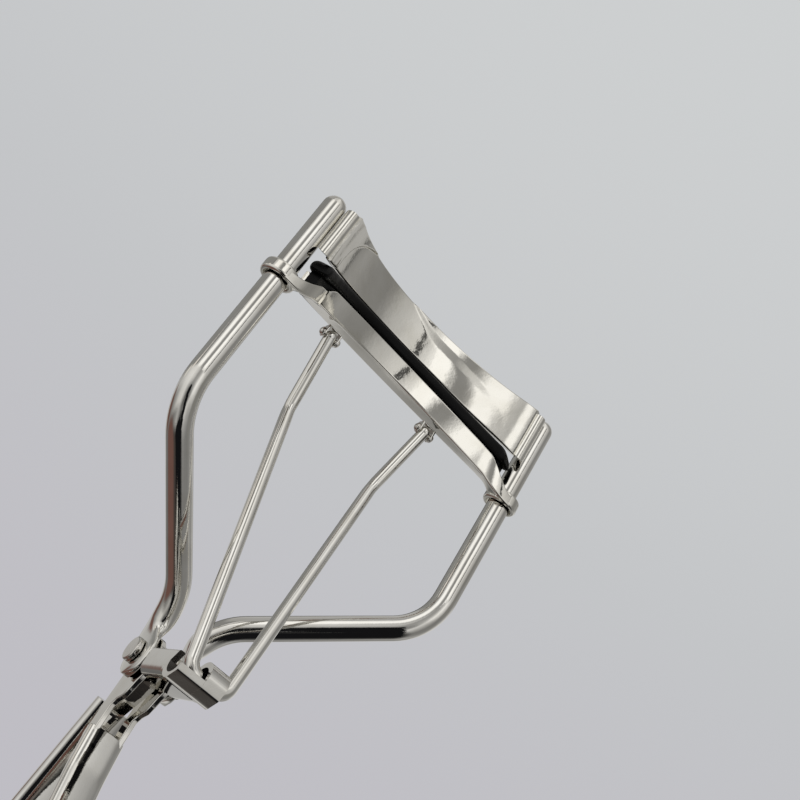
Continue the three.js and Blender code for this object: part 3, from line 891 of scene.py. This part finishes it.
BACKDROP = [(0.0, (0.52, 0.51, 0.55)), (0.45, (0.55, 0.56, 0.575)), (1.0, (0.62, 0.635, 0.64))]
BROWN_FLOOR = (0.06, 0.05, 0.045)
PATCHES = [  # colour, azimuth, elevation, inner and outer angle
    ((0.16, 0.09, 0.075), 325, -10, 8, 20),
    ((0.16, 0.085, 0.07), 325, -58, 16, 34),
    ((0.27, 0.27, 0.26), 318, 29, 8, 20),
    ((0.85, 0.80, 0.74), 280, 20, 3, 8),
    ((0.80, 0.76, 0.70), 300, 13, 3, 8),
    ((0.24, 0.235, 0.22), 122, 12, 8, 17),
]
FIGURE = (0.008, 0.008, 0.009)
FIGURE_AT = [(203, -14), (193, -24), (181, -33), (166, -41), (148, -48), (124, -53), (104, -53)]


def surroundings():
    """The room that polished metal sees: pale walls and ceiling, a darker figure low in front,
    a brown floor. The camera itself sees only a plain pale backdrop."""
    world = bpy.data.worlds.new("studio")
    bpy.context.scene.world = world
    world.use_nodes = True
    tree = world.node_tree
    out = tree.nodes["World Output"]
    back = tree.nodes["Background"]
    links = tree.links
    place = add(tree, "ShaderNodeTexCoord")
    way = add(tree, "ShaderNodeVectorMath", operation="NORMALIZE")
    links.new(place.outputs["Generated"], way.inputs[0])
    split = add(tree, "ShaderNodeSeparateXYZ")
    links.new(way.outputs[0], split.inputs[0])

    def calc(operation, a, b=None):
        node = add(tree, "ShaderNodeMath", operation=operation)
        for i, value in enumerate((a, b)):
            if isinstance(value, (int, float)):
                node.inputs[i].default_value = value
            elif value is not None:
                links.new(value, node.inputs[i])
        return node.outputs[0]

    bearing = calc("ARCTAN2", split.outputs["X"], split.outputs["Y"])
    turn = calc("FRACT", calc("ADD", calc("DIVIDE", bearing, TAU), 1.0))

    def wall(*stops):
        """Brightness round the room at one height: (azimuth in degrees, value) pairs."""
        ramp = ramp_of(tree, [(degrees / 360, warm_grey(value)) for degrees, value in stops])
        links.new(turn, ramp.inputs[0])
        return ramp.outputs[0]

    def blend(base, color, amount):
        node = add(tree, "ShaderNodeMix", data_type="RGBA")
        links.new(amount, node.inputs["Factor"])
        for key, value in (("A", base), ("B", color)):
            if isinstance(value, tuple):
                node.inputs[key].default_value = (*value, 1)
            else:
                links.new(value, node.inputs[key])
        return node.outputs["Result"]

    def spot(room, color, azimuth, elevation, inner, outer):
        """Paints a soft round patch of the room, full inside one angle and gone outside another."""
        dot = add(tree, "ShaderNodeVectorMath", operation="DOT_PRODUCT")
        links.new(way.outputs[0], dot.inputs[0])
        dot.inputs[1].default_value = direction(azimuth, elevation)
        node = add(tree, "ShaderNodeMapRange", interpolation_type="SMOOTHSTEP")
        node.inputs["From Min"].default_value = math.cos(math.radians(outer))
        node.inputs["From Max"].default_value = math.cos(math.radians(inner))
        links.new(dot.outputs["Value"], node.inputs["Value"])
        return blend(room, color, node.outputs[0])

    def height(low, high):
        """Rises from 0 to 1 between two elevations, in degrees."""
        node = add(tree, "ShaderNodeMapRange", interpolation_type="SMOOTHSTEP")
        node.inputs["From Min"].default_value = math.sin(math.radians(low))
        node.inputs["From Max"].default_value = math.sin(math.radians(high))
        links.new(split.outputs["Z"], node.inputs["Value"])
        return node.outputs[0]

    ceiling = wall((0, 0.5), (70, 0.45), (82, 0.42), (85, 0.05), (88, 0.27), (130, 0.33), (165, 0.62),
                   (188, 0.95), (205, 0.9), (225, 0.6), (243, 0.85), (252, 0.62), (254, 0.12), (257, 0.42),
                   (300, 0.42), (340, 0.5))
    level = wall((0, 0.06), (26, 0.1), (34, 0.44), (66, 0.46), (71, 0.38), (72.5, 0.05), (75, 0.28),
                 (86, 0.33), (104, 0.26), (124, 0.25), (130, 0.31), (141, 0.5), (152, 0.58), (160, 0.7),
                 (167, 0.76), (168.5, 0.06), (171.5, 0.08), (173, 0.6), (183, 0.95), (186, 1.2),
                 (198, 1.2), (203, 0.6), (206, 0.28), (216, 0.3), (222, 0.5), (230, 1.15), (247, 1.15),
                 (255, 0.6), (263, 0.5), (264, 0.1), (269, 0.28), (325, 0.24))
    middle = wall((0, 0.4), (60, 0.72), (78, 0.5), (95, 0.3), (118, 0.19), (133, 0.26), (148, 0.6),
                  (170, 1.0), (180, 0.7), (190, 0.42), (205, 0.33), (218, 0.62), (240, 0.85), (265, 0.8),
                  (290, 0.6), (325, 0.4), (350, 0.55))
    lower = wall((0, 0.2), (20, 0.36), (45, 0.22), (72, 0.4), (95, 0.25), (125, 0.22), (150, 0.42),
                 (172, 0.7), (182, 0.3), (212, 0.12), (225, 0.4), (240, 0.75), (265, 0.68), (285, 0.42),
                 (305, 0.25), (330, 0.2), (350, 0.15))
    ground = wall((0, 0.05), (15, 0.7), (40, 0.6), (60, 0.15), (80, 0.05), (110, 0.012), (195, 0.02),
                  (212, 0.3), (230, 0.45), (250, 0.32), (275, 0.2), (300, 0.15), (345, 0.06))
    room = blend(ground, lower, height(-48, -30))
    room = blend(room, middle, height(-14, 4))
    room = blend(room, level, height(15, 21))
    room = blend(room, ceiling, height(38, 46))
    room = blend(BROWN_FLOOR, room, height(-80, -58))
    for color, azimuth, elevation, inner, outer in PATCHES:
        room = spot(room, color, azimuth, elevation, inner, outer)
    for azimuth, elevation in FIGURE_AT:
        room = spot(room, FIGURE, azimuth, elevation, 8, 10.5)
    room = spot(room, FIGURE, 170, -62, 16, 20)
    links.new(room, back.inputs["Color"])
    back.inputs["Strength"].default_value = 1.0

    plain = add(tree, "ShaderNodeBackground")
    shade = ramp_of(tree, BACKDROP)
    links.new(height(0, 72), shade.inputs[0])
    links.new(shade.outputs[0], plain.inputs["Color"])
    seen = add(tree, "ShaderNodeLightPath")
    switch = add(tree, "ShaderNodeMixShader")
    links.new(seen.outputs["Is Camera Ray"], switch.inputs[0])
    links.new(back.outputs[0], switch.inputs[1])
    links.new(plain.outputs[0], switch.inputs[2])
    links.new(switch.outputs[0], out.inputs["Surface"])


CAMERA_AT = Vector((-40.83, -108.63, -21.67))
LOOK_AT = Vector((4.06, -4.36, 41.68))
CAMERA_ROLL = 33.81  # degrees
LENS = 47.9


def camera():
    data = bpy.data.cameras.new("camera")
    data.lens = LENS
    data.sensor_width = 36
    data.clip_start = 0.005
    thing = bpy.data.objects.new("camera", data)
    bpy.context.scene.collection.objects.link(thing)
    facing = (LOOK_AT - CAMERA_AT).to_track_quat("-Z", "Y").to_matrix()
    roll = Matrix.Rotation(math.radians(CAMERA_ROLL), 3, "Z")
    thing.matrix_world = Matrix.Translation(CAMERA_AT * MM) @ (facing @ roll).to_4x4()
    bpy.context.scene.camera = thing


def lamp(name, azimuth, elevation, size, power):
    """A round soft lamp a metre away, facing the origin. The metal doesn't mirror it."""
    data = bpy.data.lights.new(name, "AREA")
    data.shape = "DISK"
    data.size = size
    data.energy = power
    thing = bpy.data.objects.new(name, data)
    way = direction(azimuth, elevation)
    thing.location = way
    thing.visible_glossy = False
    thing.rotation_euler = (-way).to_track_quat("-Z", "Y").to_euler()
    bpy.context.scene.collection.objects.link(thing)


floor()
surroundings()
camera()
lamp("soft_key", 196, 48, 0.42, 0.42)
lamp("soft_fill", 243, 34, 0.22, 0.11)
bpy.context.scene.view_settings.view_transform = "Standard"
